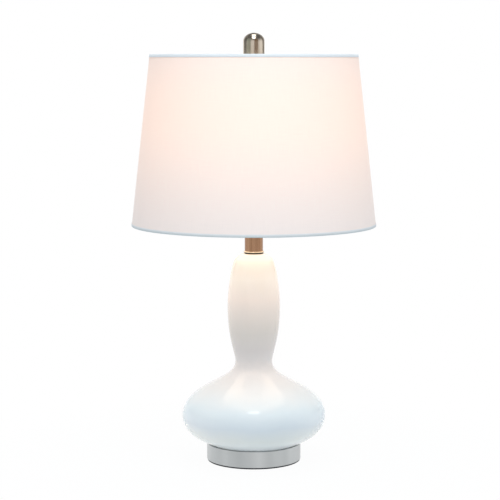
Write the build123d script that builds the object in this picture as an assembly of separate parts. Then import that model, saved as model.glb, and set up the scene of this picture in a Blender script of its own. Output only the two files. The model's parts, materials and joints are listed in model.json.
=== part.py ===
from build123d import *
import os
from math import cos, radians, sin, sqrt

# Table lamp with a waisted glass body, a metal plinth and a tapered drum shade on a harp.
# Millimetres, +Z up. The origin is on the table, under the middle of the base.
# The switch knob points to the front, -Y, the cord leaves at the back, +Y,
# and the harp lies in the XZ plane.

# Clearances
running_gap = 0.05   # a shaft that turns or slides in its hole
glue_gap = 0.1       # pieces pushed, glued or crimped together
loose_gap = 0.3      # moving pieces that pass each other without guiding

# Base
pad_thickness = 2.0
pad_inset = 0.8
plinth_radius = 64.2
plinth_height = 22.1
plinth_wall = 1.2
plinth_lip = 3.0
plinth_rounding = 0.6
weight_thickness = 8.0
weight_gap = 9.0
weight_chamfer = 1.5
base_washer_radius = 13.0
base_washer_thickness = 1.5
nut_across_flats = 15.9
nut_height = 4.0
rod_end_overhang = 0.8

# Cord inlet in the plinth's wall
inlet_height = 9.0
inlet_hole_radius = 4.0
inlet_bore_radius = 2.9
inlet_flange_radius = 5.4
inlet_flange_thickness = 1.6
inlet_lip_radius = 4.6
inlet_lip_length = 2.4
inlet_chamfer = 0.6

# Glass body: radii, heights above its foot, and how far each curve pulls at its ends
gasket_thickness = 0.5
gasket_width = 9.0
gasket_inset = 1.2
glass_height = 259.4
glass_wall = 4.0
glass_floor = 5.0
glass_floor_hole_radius = 20.0
glass_mouth_radius = 9.0
foot_radius = 63.2
foot_rounding = 0.6
foot_flare = 32.0        # degrees above the table
foot_pull = 8.0
belly_radius = 97.7
belly_height = 37.9
belly_pull_below = 26.0
belly_pull_above = 10.9
shoulder_radius = 57.7
shoulder_height = 81.9
shoulder_slope = 27.5    # degrees above the table
shoulder_pull_below = 40.4
shoulder_pull_above = 25.3
waist_radius = 25.2
waist_height = 112.3
waist_pull_below = 12.5
waist_pull_above = 10.5
bulge_radius = 35.8
bulge_height = 187.7
bulge_pull_below = 46.3
bulge_pull_above = 22.6
brow_radius = 24.0
brow_height = 253.2
brow_slope = 35.6        # degrees above the table
brow_pull_below = 8.0
brow_pull_above = 5.0
crown_radius = 14.5
crown_pull = 4.0
wall_points = 6          # points taken from each outer curve to follow it inside

# Neck
rod_radius = 4.9
rod_bore_radius = 3.2
bush_flange_radius = 12.4
bush_flange_thickness = 1.0
bush_spigot_length = 6.0
neck_radius = 12.4
neck_wall = 0.8
neck_length = 53.9
spigot_length = 2.5
ring_radius = 13.9
ring_height = 2.5
ring_undercut_radius = 12.8
ring_undercut_height = 0.5
ring_rounding = 0.9
ring_lower_rounding = 0.4
neck_cap_thickness = 2.0
neck_cap_rounding = 0.8

# Harp and its saddle
saddle_thickness = 1.6
saddle_width = 12.0
saddle_flat = 32.0
saddle_span = 56.0
saddle_rise = 9.5
saddle_bend_radius = 4.0
ear_shoulder_height = 17.0
ear_tab_width = 4.4
ear_tab_height = 10.0
harp_wire_radius = 1.6
harp_height = 173.3      # from the ears' shoulders to the wire's centre at the top
harp_foot_radius = 3.25
harp_foot_length = 14.0
harp_foot_overlap = 2.0
harp_straight = 15.0
harp_flare_height = 36.0
harp_span = 113.0
harp_low_bend = 22.0
harp_flare_bend = 46.0
harp_top_bend = 38.0
harp_pad_radius = 7.5
sleeve_wall = 1.0
sleeve_length = 13.0
sleeve_chamfer = 0.4

# Swivel stud, spider and shade
stud_shaft_radius = 3.0
stud_head_radius = 4.8
stud_head_height = 1.8
stud_flange_radius = 8.0
stud_flange_thickness = 2.2
stud_boss_height = 1.2
stud_thread_radius = 3.1
stud_thread_length = 11.5
stud_chamfer = 0.6
washer_margin = 1.7      # how far the washer stands out past the finial
washer_hole_radius = 5.55
washer_thickness = 1.6
spoke_count = 3
spoke_first_angle = 90.0
spoke_bend_radius = 6.0
frame_wire_radius = 1.25
spider_drop = 8.8        # from the shade's upper edge down to the washer's top
shade_height = 229.0
shade_bottom_radius = 165.0
shade_top_radius = 139.6
fabric_thickness = 0.4
liner_thickness = 0.5
trim_thickness = 0.35
trim_height = 3.6

# Finial
finial_radius = 14.4
finial_height = 37.9
finial_dome_height = 11.4
finial_chamfer = 0.5
insert_radius = 5.5
insert_length = 14.0
round_pull = 0.5523       # pull of a curve that rounds a quarter turn like an ellipse

# Lamp socket and its turn switch, heights above the saddle
socket_cap_wall = 0.8
socket_hub_radius = 8.5
socket_hub_height = 5.0
socket_bowl_height = 8.0
socket_cap_height = 22.0
socket_body_radius = 14.4
socket_body_bottom = 10.0
socket_body_top = 34.0
socket_liner_wall = 0.5
socket_shell_wall = 0.7
socket_shell_bottom = 13.5
socket_shell_top = 55.0
socket_bead = 0.6
screw_shell_wall = 0.5
set_screw_radius = 1.4
set_screw_length = 4.2
set_screw_height = 2.5
screw_slot_width = 0.6
screw_slot_depth = 0.5
terminal_flat = 11.0
terminal_height = 15.5
terminal_radius = 2.6
terminal_head = 1.6
terminal_shank_radius = 1.4
terminal_shank_length = 5.0
contact_width = 5.0
contact_thickness = 0.6
contact_rise = 2.3
contact_reach = 7.0
switch_height = 27.5
switch_bush_radius = 4.0
switch_bush_reach = 2.4
switch_bush_depth = 4.0
switch_shaft_radius = 2.2
switch_shaft_depth = 8.0
knob_gap = 1.6
knob_length = 13.0
knob_radius = 6.6
knob_tip_radius = 5.6
knob_bore_depth = 9.0
knob_rounding = 0.8
flute_count = 14
flute_radius = 0.75

# Bulb, heights above its tip
bulb_tip_radius = 4.2
bulb_tip_height = 1.6
bulb_tip_rounding = 1.0
bulb_insulator_radius = 10.6
bulb_insulator_height = 4.4
bulb_plug_height = 2.0
bulb_cap_radius = 13.1
bulb_cap_wall = 0.4
bulb_cap_lead = 2.2
bulb_cap_top = 26.0
bulb_thread_gap = 0.4
bulb_glass_wall = 0.8
bulb_glass_seat = 5.0
bulb_radius = 30.0
bulb_centre = 75.0
bulb_neck_pull = 20.0
bulb_side_pull = 24.0

# Heights of the seats, from the table up
plinth_bottom = pad_thickness
plinth_top = plinth_bottom + plinth_height
plinth_ceiling = plinth_top - plinth_wall
weight_bottom = plinth_ceiling - weight_thickness
base_washer_bottom = weight_bottom - base_washer_thickness
base_nut_bottom = base_washer_bottom - nut_height
glass_bottom = plinth_top + gasket_thickness
glass_top = glass_bottom + glass_height
ring_bottom = glass_top + bush_flange_thickness
neck_bottom = ring_bottom + ring_height
neck_top = neck_bottom + neck_length
neck_nut_bottom = neck_top + neck_cap_thickness
saddle_bottom = neck_nut_bottom + nut_height
saddle_top = saddle_bottom + saddle_thickness
ear_shoulder = saddle_bottom + ear_shoulder_height
harp_top = ear_shoulder + harp_height
stud_flange_bottom = harp_top + harp_wire_radius + running_gap
washer_bottom = stud_flange_bottom + stud_flange_thickness
washer_top = washer_bottom + washer_thickness
shade_top = washer_top + spider_drop
shade_bottom = shade_top - shade_height
rod_bottom = base_nut_bottom - rod_end_overhang
rod_top = saddle_top + socket_hub_height
body_top = saddle_top + socket_body_top
bulb_bottom = body_top + contact_rise + contact_thickness + loose_gap

# Radii that follow from the driving ones
plinth_inner = plinth_radius - plinth_wall
rod_hole = rod_radius + glue_gap
gasket_radius = foot_radius - gasket_inset
neck_inner = neck_radius - neck_wall
sleeve_bore = harp_foot_radius + running_gap
sleeve_radius = sleeve_bore + sleeve_wall
stud_bore = stud_shaft_radius + running_gap
liner_bore = socket_body_radius + glue_gap
liner_outer = liner_bore + socket_liner_wall
shell_bore = liner_outer + glue_gap
shell_outer = shell_bore + socket_shell_wall
cap_bore = shell_outer + glue_gap
cap_outer = cap_bore + socket_cap_wall
washer_radius = finial_radius + washer_margin
screw_shell_bore = bulb_cap_radius + bulb_thread_gap
switch_level = saddle_top + switch_height
knob_back = shell_outer + switch_bush_reach + knob_gap


def turned(*outline):
    """Solid turned about Z from corners given as (radius, height)."""
    return revolve(Plane.XZ * make_face(Polyline(*outline, close=True)), Axis.Z)


def turned_curves(*edges):
    """Solid turned about Z from lines and curves drawn in (radius, height)."""
    return revolve(Plane.XZ * make_face(Curve() + list(edges)), Axis.Z)


def pipe(inner, outer, bottom, top):
    """Round pipe, washer or, with no inner radius, a disc."""
    return turned((inner, bottom), (outer, bottom), (outer, top), (inner, top))


def rim(solid, radius, height):
    """The round edges of a turned solid at one radius and height."""
    circles = solid.edges().filter_by(GeomType.CIRCLE)
    return [e for e in circles if abs(e.radius - radius) < 0.01 and abs(e.arc_center.Z - height) < 0.01]


def forward(solid, height):
    """Turn a solid made along +Z so that it points to the front, -Y, at one height."""
    return Location((0, 0, height), (90, 0, 0)) * solid


def rearward(solid, height):
    """Turn a solid made along +Z so that it points to the back, +Y, at one height."""
    return Location((0, 0, height), (-90, 0, 0)) * solid


def sideways(solid, height):
    """Turn a solid made along +Z so that it points along +X at one height."""
    return Location((0, 0, height), (0, 90, 0)) * solid


def swept(section, path):
    """Sweep a flat section, its first side along Y, from the start of a path in the XZ plane."""
    start = Plane(origin=path @ 0, x_dir=(0, 1, 0), z_dir=path % 0)
    return sweep(start * section, path=path)


def hex_nut(bottom):
    """Hexagonal lock nut on the threaded rod."""
    outline = RegularPolygon(nut_across_flats / 2, 6, major_radius=False) - Circle(rod_hole)
    return Pos(0, 0, bottom) * extrude(outline, nut_height)


# Base

def make_base_pad():
    return pipe(0, plinth_radius - pad_inset, 0, pad_thickness)


def make_base_plinth():
    """Spun metal cup, open below, with a turned-in lip that the pad is glued to."""
    lip_radius = plinth_inner - plinth_lip
    lip_top = plinth_bottom + plinth_wall
    cup = turned(
        (rod_hole, plinth_top), (plinth_radius, plinth_top), (plinth_radius, plinth_bottom),
        (lip_radius, plinth_bottom), (lip_radius, lip_top), (plinth_inner, lip_top),
        (plinth_inner, plinth_ceiling), (rod_hole, plinth_ceiling))
    cup = fillet(rim(cup, plinth_radius, plinth_top), plinth_rounding)
    return cup - rearward(pipe(0, inlet_hole_radius, 0, 2 * plinth_radius), inlet_height)


def make_base_weight():
    radius = plinth_inner - weight_gap
    disc = pipe(rod_hole, radius, weight_bottom, plinth_ceiling)
    return chamfer(rim(disc, radius, weight_bottom) + rim(disc, radius, plinth_ceiling), weight_chamfer)


def make_base_washer():
    return pipe(rod_hole, base_washer_radius, base_washer_bottom, weight_bottom)


def make_cord_bushing():
    """Snap-in bushing that keeps the cord off the edge of the plinth's hole."""
    sag = plinth_inner - sqrt(plinth_inner ** 2 - inlet_lip_radius ** 2)
    lip_face = plinth_inner - sag - glue_gap
    inner_end = lip_face - inlet_lip_length
    outer_end = plinth_radius + inlet_flange_thickness
    sleeve_radius_here = inlet_hole_radius - glue_gap
    bushing = turned(
        (inlet_bore_radius, inner_end), (inlet_hole_radius - inlet_chamfer, inner_end),
        (inlet_lip_radius, lip_face), (sleeve_radius_here, lip_face),
        (sleeve_radius_here, plinth_radius), (inlet_flange_radius, plinth_radius),
        (inlet_flange_radius, outer_end - inlet_chamfer), (inlet_flange_radius - inlet_chamfer, outer_end),
        (inlet_bore_radius, outer_end))
    return rearward(bushing, inlet_height)


# Glass body

def make_glass_gasket():
    return pipe(gasket_radius - gasket_width, gasket_radius, plinth_top, glass_bottom)


def leaning(angle, length):
    """Step of one length inwards and up at an angle above the table."""
    return Vector(-cos(radians(angle)), sin(radians(angle))) * length


def glass_outline():
    """Outer side of the glass from its foot to its crown, as smooth curves of (radius, height)."""
    foot = Vector(foot_radius, glass_bottom)
    flare = Vector(cos(radians(foot_flare)), sin(radians(foot_flare))) * foot_pull
    belly = Vector(belly_radius, glass_bottom + belly_height)
    shoulder = Vector(shoulder_radius, glass_bottom + shoulder_height)
    waist = Vector(waist_radius, glass_bottom + waist_height)
    bulge = Vector(bulge_radius, glass_bottom + bulge_height)
    brow = Vector(brow_radius, glass_bottom + brow_height)
    crown = Vector(crown_radius, glass_top)
    up = Vector(0, 1)
    out = Vector(1, 0)
    shoulder_in = leaning(shoulder_slope, shoulder_pull_below)
    shoulder_out = leaning(shoulder_slope, shoulder_pull_above)
    return [
        Bezier(foot, foot + flare, belly - up * belly_pull_below, belly),
        Bezier(belly, belly + up * belly_pull_above, shoulder - shoulder_in, shoulder),
        Bezier(shoulder, shoulder + shoulder_out, waist - up * waist_pull_below, waist),
        Bezier(waist, waist + up * waist_pull_above, bulge - up * bulge_pull_below, bulge),
        Bezier(bulge, bulge + up * bulge_pull_above, brow - leaning(brow_slope, brow_pull_below), brow),
        Bezier(brow, brow + leaning(brow_slope, brow_pull_above), crown + out * crown_pull, crown),
    ]


def make_glass_body():
    """Blown glass of even wall, with a thicker ground floor and a mouth for the centring bush."""
    outline = glass_outline()
    outside = turned_curves(*outline, Polyline((crown_radius, glass_top), (0, glass_top),
                                               (0, glass_bottom), (foot_radius, glass_bottom)))
    outside = fillet(rim(outside, foot_radius, glass_bottom), foot_rounding)
    inner_points = []
    for curve in outline:
        for step in range(wall_points):
            tangent = curve.tangent_at(step / wall_points)
            inward = Vector(-tangent.Y, tangent.X) * glass_wall
            inner_points.append(curve.position_at(step / wall_points) + inward)
    inner_points.append(Vector(crown_radius, glass_top - glass_wall))
    first = inner_points[0]
    last = inner_points[-1]
    cavity = turned_curves(Spline(*inner_points), Polyline(last, (0, last.Y), (0, first.Y), first))
    cavity = cavity & pipe(0, 2 * belly_radius, glass_bottom + glass_floor, glass_top)
    floor_hole = pipe(0, glass_floor_hole_radius, glass_bottom, glass_bottom + 2 * glass_floor)
    mouth = pipe(0, glass_mouth_radius, glass_top - 2 * glass_wall, glass_top)
    return outside - cavity - floor_hole - mouth


# Neck

def make_glass_bush():
    """Flanged bush that centres the glass on the rod and cushions the ring above."""
    spigot_radius = glass_mouth_radius - glue_gap
    return turned(
        (rod_hole, glass_top - bush_spigot_length), (spigot_radius, glass_top - bush_spigot_length),
        (spigot_radius, glass_top), (bush_flange_radius, glass_top),
        (bush_flange_radius, ring_bottom), (rod_hole, ring_bottom))


def make_neck_ring():
    """Turned check ring with an undercut foot, a rounded rim and a spigot for the tube."""
    spigot_radius = neck_inner - glue_gap
    undercut_top = ring_bottom + ring_undercut_height
    ring = turned(
        (rod_hole, ring_bottom), (ring_undercut_radius, ring_bottom),
        (ring_undercut_radius, undercut_top), (ring_radius, undercut_top),
        (ring_radius, neck_bottom), (spigot_radius, neck_bottom),
        (spigot_radius, neck_bottom + spigot_length), (rod_hole, neck_bottom + spigot_length))
    ring = fillet(rim(ring, ring_radius, neck_bottom), ring_rounding)
    return fillet(rim(ring, ring_radius, undercut_top), ring_lower_rounding)


def make_neck_tube():
    return pipe(neck_inner, neck_radius, neck_bottom, neck_top)


def make_neck_cap():
    spigot_radius = neck_inner - glue_gap
    cap = turned(
        (rod_hole, neck_top - spigot_length), (spigot_radius, neck_top - spigot_length),
        (spigot_radius, neck_top), (neck_radius, neck_top),
        (neck_radius, neck_nut_bottom), (rod_hole, neck_nut_bottom))
    return fillet(rim(cap, neck_radius, neck_nut_bottom), neck_cap_rounding)


def make_threaded_rod():
    return pipe(rod_bore_radius, rod_radius, rod_bottom, rod_top)


# Harp

def make_harp_saddle():
    """Bent strip clamped under the socket, with a tab on each ear that the harp plugs over."""
    level = saddle_bottom + saddle_thickness / 2
    bend = level + saddle_rise
    tab_top = ear_shoulder + ear_tab_height
    ear = saddle_span / 2
    flat = saddle_flat / 2
    path = FilletPolyline(
        (-ear, 0, tab_top), (-ear, 0, bend), (-flat, 0, level),
        (flat, 0, level), (ear, 0, bend), (ear, 0, tab_top), radius=saddle_bend_radius)
    strip = swept(Rectangle(saddle_width, saddle_thickness), path)
    strip -= pipe(0, rod_hole, saddle_bottom, saddle_top)
    for side in (-1, 1):
        waste = Pos(0, side * (ear_tab_width / 2 + saddle_width / 2), ear_shoulder) * Box(
            2 * saddle_span, saddle_width, 2 * ear_tab_height,
            align=(Align.CENTER, Align.CENTER, Align.MIN))
        strip -= waste
    return strip


def make_harp_bow():
    """Wire bow with slotted feet below and a drilled pad for the stud at its top."""
    ear = saddle_span / 2
    wide = harp_span / 2
    foot_top = ear_shoulder + harp_foot_length
    bend = foot_top + harp_straight
    path = FilletPolyline(
        (-ear, 0, foot_top - harp_foot_overlap), (-ear, 0, bend), (-wide, 0, bend + harp_flare_height),
        (-wide, 0, harp_top), (wide, 0, harp_top),
        (wide, 0, bend + harp_flare_height), (ear, 0, bend), (ear, 0, foot_top - harp_foot_overlap),
        radius=[harp_low_bend, harp_flare_bend, harp_top_bend,
                harp_top_bend, harp_flare_bend, harp_low_bend])
    bow = swept(Circle(harp_wire_radius), path)
    bow += pipe(0, harp_pad_radius, harp_top - harp_wire_radius, harp_top + harp_wire_radius)
    slot = Box(saddle_thickness + 2 * glue_gap, 4 * harp_foot_radius, ear_tab_height + glue_gap,
               align=(Align.CENTER, Align.CENTER, Align.MIN))
    for side in (-1, 1):
        foot = pipe(0, harp_foot_radius, ear_shoulder, foot_top)
        bow += Pos(side * ear, 0, 0) * foot
        bow -= Pos(side * ear, 0, ear_shoulder) * slot
    return bow - pipe(0, stud_bore, harp_top - 2 * harp_wire_radius, harp_top + 2 * harp_wire_radius)


def make_harp_sleeve(side):
    """Sliding sleeve that locks the harp's foot over the saddle's tab."""
    bottom = ear_shoulder + running_gap
    sleeve = pipe(sleeve_bore, sleeve_radius, bottom, bottom + sleeve_length)
    outer_rims = rim(sleeve, sleeve_radius, bottom) + rim(sleeve, sleeve_radius, bottom + sleeve_length)
    return Pos(side * saddle_span / 2, 0, 0) * chamfer(outer_rims, sleeve_chamfer)


def make_harp_stud():
    """Riveted stud that swivels in the harp's pad and carries the shade and the finial."""
    head_top = harp_top - harp_wire_radius - running_gap
    boss_radius = washer_hole_radius - glue_gap
    boss_top = washer_bottom + stud_boss_height
    thread_top = washer_top + stud_thread_length
    stud = turned(
        (0, head_top - stud_head_height), (stud_head_radius - stud_chamfer, head_top - stud_head_height),
        (stud_head_radius, head_top - stud_head_height + stud_chamfer), (stud_head_radius, head_top),
        (stud_shaft_radius, head_top), (stud_shaft_radius, stud_flange_bottom),
        (stud_flange_radius, stud_flange_bottom), (stud_flange_radius, washer_bottom),
        (boss_radius, washer_bottom), (boss_radius, boss_top), (stud_thread_radius, boss_top),
        (stud_thread_radius, thread_top - stud_chamfer), (stud_thread_radius - stud_chamfer, thread_top),
        (0, thread_top))
    return stud


# Shade

def fabric_radius(height):
    """Outer radius of the fabric at one height, which may lie a little past its edges."""
    share = (height - shade_bottom) / shade_height
    return shade_bottom_radius + share * (shade_top_radius - shade_bottom_radius)


def cone_shell(inset, thickness):
    """Tapered sheet that lies a set distance inside the fabric's outer face."""
    return turned(
        (shade_bottom_radius - inset - thickness, shade_bottom),
        (shade_bottom_radius - inset, shade_bottom),
        (shade_top_radius - inset, shade_top), (shade_top_radius - inset - thickness, shade_top))


def ring_centre(edge_height):
    """Radius at which a frame wire lies against the liner, near one edge of the shade."""
    wall = fabric_thickness + glue_gap + liner_thickness + glue_gap
    return fabric_radius(edge_height + frame_wire_radius) - wall - frame_wire_radius


top_ring_height = shade_top - frame_wire_radius
bottom_ring_height = shade_bottom + frame_wire_radius
top_ring_radius = ring_centre(top_ring_height)
bottom_ring_radius = ring_centre(bottom_ring_height)


def make_spider_washer():
    return pipe(washer_hole_radius, washer_radius, washer_bottom, washer_top)


def make_spider_spokes():
    """Wires welded to the washer's rim and, after a drop, to the underside of the top ring."""
    level = washer_bottom + washer_thickness / 2
    path = FilletPolyline(
        (washer_radius - frame_wire_radius, 0, level), (top_ring_radius, 0, level),
        (top_ring_radius, 0, top_ring_height), radius=spoke_bend_radius)
    spoke = swept(Circle(frame_wire_radius), path)
    spoke -= pipe(0, washer_radius, washer_bottom - washer_radius, washer_top + washer_radius)
    spoke -= make_top_ring()
    turns = [spoke_first_angle + index * 360 / spoke_count for index in range(spoke_count)]
    return Compound(children=[Rot(0, 0, turn) * spoke for turn in turns])


def make_top_ring():
    return Pos(0, 0, top_ring_height) * Torus(top_ring_radius, frame_wire_radius)


def make_bottom_ring():
    return Pos(0, 0, bottom_ring_height) * Torus(bottom_ring_radius, frame_wire_radius)


def make_trim(edge, outward, wire_radius_at):
    """Tape folded over one edge of the shade and round its wire; outward is 1 above and -1 below."""
    leg_end = edge - outward * trim_height
    web_inner = edge + outward * glue_gap
    web_outer = web_inner + outward * trim_thickness
    face = glue_gap
    back = glue_gap + trim_thickness
    inside_face = wire_radius_at - frame_wire_radius - glue_gap
    inside_back = inside_face - trim_thickness
    inside_end = edge - outward * (2 * frame_wire_radius + glue_gap)
    return turned(
        (fabric_radius(leg_end) + face, leg_end), (fabric_radius(leg_end) + back, leg_end),
        (fabric_radius(web_outer) + back, web_outer), (inside_back, web_outer),
        (inside_back, inside_end), (inside_face, inside_end),
        (inside_face, web_inner), (fabric_radius(web_inner) + face, web_inner))


# Finial

def make_finial_insert():
    """Threaded bush in the finial, which runs on the stud."""
    return pipe(stud_thread_radius + running_gap, insert_radius, washer_top, washer_top + insert_length)


def make_finial():
    """Bullet-shaped finial with a flat foot and a blind bore for its threaded bush."""
    top = washer_top + finial_height
    dome = top - finial_dome_height
    bore = insert_radius + running_gap
    bore_top = washer_top + insert_length + loose_gap
    return turned_curves(
        Bezier((finial_radius, dome), (finial_radius, dome + round_pull * finial_dome_height),
               (round_pull * finial_radius, top), (0, top)),
        Polyline((0, top), (0, bore_top), (bore, bore_top), (bore, washer_top),
                 (finial_radius - finial_chamfer, washer_top), (finial_radius, washer_top + finial_chamfer),
                 (finial_radius, dome)))


# Lamp socket

def make_socket_cap():
    """Bowl-shaped cap screwed on the rod by its hub, with a hole for the set screw."""
    bowl = saddle_top + socket_hub_height + socket_bowl_height
    brim = saddle_top + socket_cap_height
    floor = saddle_top + socket_hub_height + socket_cap_wall
    outer_arc = EllipticalCenterArc(
        (socket_hub_radius, bowl), cap_outer - socket_hub_radius, socket_bowl_height,
        start_angle=270, arc_size=90)
    inner_arc = EllipticalCenterArc(
        (socket_hub_radius, bowl), cap_bore - socket_hub_radius, bowl - floor, start_angle=270, arc_size=90)
    cap = turned_curves(
        Polyline((rod_hole, floor), (rod_hole, saddle_top), (socket_hub_radius, saddle_top),
                 (socket_hub_radius, saddle_top + socket_hub_height)),
        outer_arc,
        Polyline((cap_outer, bowl), (cap_outer, brim), (cap_bore, brim), (cap_bore, bowl)),
        inner_arc,
        Line((socket_hub_radius, floor), (rod_hole, floor)))
    hole = pipe(0, set_screw_radius + glue_gap, 0, 2 * socket_hub_radius)
    return cap - sideways(hole, saddle_top + set_screw_height)


def screw_slot(face_height, radius):
    """Waste for the driver's slot across a screw's outer face."""
    return Pos(0, 0, face_height) * Box(
        screw_slot_width, 4 * radius, 2 * screw_slot_depth)


def make_set_screw():
    end = rod_hole + set_screw_length
    screw = pipe(0, set_screw_radius, rod_hole, end) - screw_slot(end, set_screw_radius)
    return sideways(screw, saddle_top + set_screw_height)


def switch_notch():
    """Waste for the notch that lets the shell and its liner slide down past the switch."""
    radius = switch_bush_radius + loose_gap
    hole = forward(pipe(0, radius, 0, 2 * shell_outer), switch_level)
    slot = Pos(0, -shell_outer, switch_level) * Box(
        2 * radius, 2 * shell_outer, 2 * switch_height, align=(Align.CENTER, Align.CENTER, Align.MAX))
    return hole + slot


def make_socket_shell():
    """Outer metal shell, pushed into the cap, with a bead round its mouth."""
    bottom = saddle_top + socket_shell_bottom
    top = saddle_top + socket_shell_top
    bead = 2 * socket_bead
    shell = turned(
        (shell_bore, bottom), (shell_outer, bottom), (shell_outer, top - bead),
        (shell_outer + socket_bead, top - socket_bead), (shell_outer, top), (shell_bore, top))
    return shell - switch_notch()


def make_socket_liner():
    bottom = saddle_top + socket_shell_bottom
    return pipe(liner_bore, liner_outer, bottom, saddle_top + socket_shell_top) - switch_notch()


def make_socket_body():
    """Moulded insulator with the switch inside and flats for the terminal screws."""
    bottom = saddle_top + socket_body_bottom
    body = pipe(0, socket_body_radius, bottom, body_top)
    pocket_height = terminal_height + terminal_radius + loose_gap - socket_body_bottom
    pocket = Box(socket_body_radius, 2 * socket_body_radius, 2 * pocket_height)
    for side in (-1, 1):
        body -= Pos(side * (terminal_flat + socket_body_radius / 2), 0, bottom) * pocket
        hole = pipe(0, terminal_shank_radius + glue_gap, terminal_flat - terminal_shank_length - loose_gap,
                    socket_body_radius)
        body -= Rot(0, 0, 90 - side * 90) * sideways(hole, saddle_top + terminal_height)
    thread_depth = socket_body_radius - switch_bush_depth
    shaft_end = switch_shaft_depth - loose_gap
    body -= forward(pipe(0, switch_bush_radius, thread_depth, 2 * socket_body_radius), switch_level)
    shaft_hole = pipe(0, switch_shaft_radius + loose_gap, shaft_end, socket_body_radius)
    return body - forward(shaft_hole, switch_level)


def make_screw_shell():
    """Threaded metal shell that takes the bulb's cap."""
    outer = screw_shell_bore + screw_shell_wall
    top = saddle_top + socket_shell_top
    return pipe(screw_shell_bore, outer, body_top, top)


def make_centre_contact():
    """Spring tongue under the bulb's tip."""
    low = body_top + contact_thickness / 2
    high = low + contact_rise
    path = FilletPolyline(
        (-contact_reach, 0, low), (-contact_reach / 2, 0, low), (0, 0, high), (contact_reach / 2, 0, high),
        radius=contact_thickness)
    return swept(Rectangle(contact_width, contact_thickness), path)


def make_terminal_screws():
    """The two screws that hold the cord's wires, one on each side of the moulded body."""
    head_top = terminal_flat + terminal_head
    screw = turned(
        (0, terminal_flat - terminal_shank_length),
        (terminal_shank_radius, terminal_flat - terminal_shank_length),
        (terminal_shank_radius, terminal_flat), (terminal_radius, terminal_flat),
        (terminal_radius, head_top), (0, head_top))
    screw -= screw_slot(head_top, terminal_radius)
    placed = sideways(screw, saddle_top + terminal_height)
    return Compound(children=[Rot(0, 0, turn) * placed for turn in (0, 180)])


# Switch

def make_switch_bush():
    """Threaded collar that guides the switch's shaft out of the socket."""
    inner_end = socket_body_radius - switch_bush_depth
    return forward(pipe(switch_shaft_radius + running_gap, switch_bush_radius - running_gap,
                        inner_end, shell_outer + switch_bush_reach), switch_level)


def make_switch_shaft():
    shaft = pipe(0, switch_shaft_radius, switch_shaft_depth, knob_back + knob_bore_depth)
    return forward(shaft, switch_level)


def make_switch_knob():
    """Fluted turn knob, tapered to its tip, pressed on the shaft."""
    tip = knob_back + knob_length
    bore = switch_shaft_radius + running_gap
    bore_end = knob_back + knob_bore_depth + loose_gap
    knob = turned(
        (bore, knob_back), (knob_radius, knob_back), (knob_tip_radius, tip), (0, tip), (0, bore_end),
        (bore, bore_end))
    knob = fillet(rim(knob, knob_tip_radius, tip), knob_rounding)
    lean = Vector(knob_tip_radius - knob_radius, 0, knob_length)
    groove_line = Plane(origin=(knob_radius, 0, knob_back), z_dir=lean)
    groove = extrude(groove_line * Circle(flute_radius), knob_length * 2, both=True)
    for index in range(flute_count):
        knob -= Rot(0, 0, index * 360 / flute_count) * groove
    return forward(knob, switch_level)


# Bulb

def make_bulb_contact():
    """Tip contact and glass insulator at the foot of the bulb."""
    insulator_top = bulb_bottom + bulb_insulator_height
    plug_radius = bulb_insulator_radius - bulb_cap_wall - loose_gap
    plug_top = insulator_top + bulb_plug_height
    contact = turned(
        (0, bulb_bottom), (bulb_tip_radius, bulb_bottom), (bulb_tip_radius, bulb_bottom + bulb_tip_height),
        (plug_radius, insulator_top - loose_gap), (plug_radius, plug_top), (0, plug_top))
    return fillet(rim(contact, bulb_tip_radius, bulb_bottom), bulb_tip_rounding)


def make_bulb_cap():
    """Metal screw cap; its thread is left plain at the crests' radius."""
    bottom = bulb_bottom + bulb_insulator_height
    lead_top = bottom + bulb_cap_lead
    top = bulb_bottom + bulb_cap_top
    inner = bulb_cap_radius - bulb_cap_wall
    return turned(
        (bulb_insulator_radius, bottom), (bulb_cap_radius, lead_top), (bulb_cap_radius, top), (inner, top),
        (inner, lead_top), (bulb_insulator_radius - bulb_cap_wall, bottom))


def bulb_side(inset):
    """Neck and dome of the bulb's glass, drawn a set distance inside its outer face."""
    neck = bulb_cap_radius - bulb_cap_wall - glue_gap - inset
    radius = bulb_radius - inset
    seat = bulb_bottom + bulb_cap_top - bulb_glass_seat
    rim_height = bulb_bottom + bulb_cap_top
    centre = bulb_bottom + bulb_centre
    return [
        Line((neck, seat), (neck, rim_height)),
        Bezier((neck, rim_height), (neck, rim_height + bulb_neck_pull),
               (radius, centre - bulb_side_pull), (radius, centre)),
        CenterArc((0, centre), radius, 0, 90),
    ]


def make_bulb_envelope():
    """Thin glass of the usual household pear shape."""
    outer = bulb_side(0)
    inner = bulb_side(bulb_glass_wall)
    crown = Line(outer[-1] @ 1, inner[-1] @ 1)
    mouth = Line(outer[0] @ 0, inner[0] @ 0)
    return turned_curves(*outer, *inner, crown, mouth)


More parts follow.
